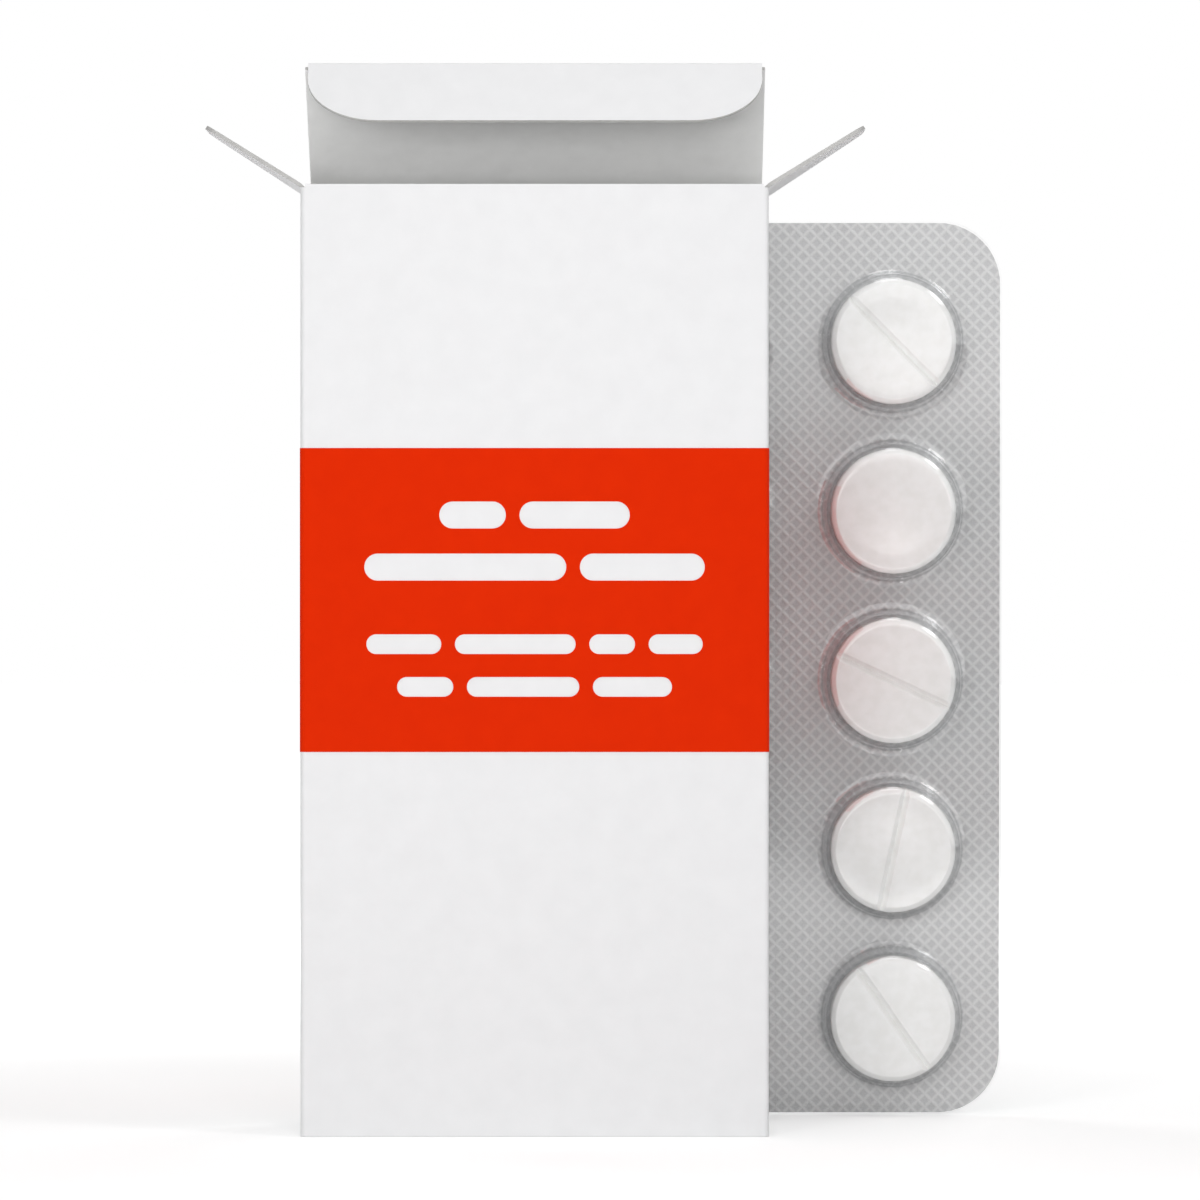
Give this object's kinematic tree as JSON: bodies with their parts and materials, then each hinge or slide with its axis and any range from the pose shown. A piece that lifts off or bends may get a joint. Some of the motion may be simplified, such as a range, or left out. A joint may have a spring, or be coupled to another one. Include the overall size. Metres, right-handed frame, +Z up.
{
  "type": "box of tablets",
  "caption": "Upright folding carton with a red band, its hinged lid open, with blister cards of round white tablets behind it and inside.",
  "frame": {"origin": "middle of the carton's underside", "axes": "+Z up through the open top, -Y out of the front panel, +X to the right as the front is seen"},
  "size_m": [0.0785, 0.0253, 0.1035],
  "materials": {
    "white_board": "smooth coated white board, satin",
    "red_ink": "flat red-orange print, satin",
    "clear_film": "clear glossy thermoformed film",
    "lidding_foil": "satin foil with a fine diamond knurl",
    "tablet": "pressed white powder, matt",
    "leaflet_paper": "thin uncoated white paper"
  },
  "bodies": {
    "box": {"carton": "white_board", "printed_band": "red_ink", "blister_film": "clear_film", "blister_foil": "lidding_foil", "tablet_01": "tablet", "tablet_02": "tablet", "tablet_03": "tablet", "tablet_04": "tablet", "tablet_05": "tablet", "tablet_06": "tablet", "tablet_07": "tablet", "tablet_08": "tablet", "tablet_09": "tablet", "tablet_10": "tablet", "inner_blister_film": "clear_film", "inner_blister_foil": "lidding_foil", "inner_tablet_01": "tablet", "inner_tablet_02": "tablet", "inner_tablet_03": "tablet", "inner_tablet_04": "tablet", "inner_tablet_05": "tablet", "inner_tablet_06": "tablet", "inner_tablet_07": "tablet", "inner_tablet_08": "tablet", "inner_tablet_09": "tablet", "inner_tablet_10": "tablet", "leaflet": "leaflet_paper"},
    "lid": {"lid_panel": "white_board"},
    "tuck": {"tuck_flap": "white_board"}
  },
  "joints": [
    {"name": "lid_hinge", "type": "hinge", "parent": "box", "child": "lid", "pos_m": [0, 0.0088, 0.0918], "axis": [-1, 0, 0], "range_deg": [-43, 147]},
    {"name": "tuck_hinge", "type": "hinge", "parent": "lid", "child": "tuck", "pos_m": [0, -0.00356, 0.10333], "axis": [1, 0, 0], "range_deg": [-101, 19]}
  ]
}
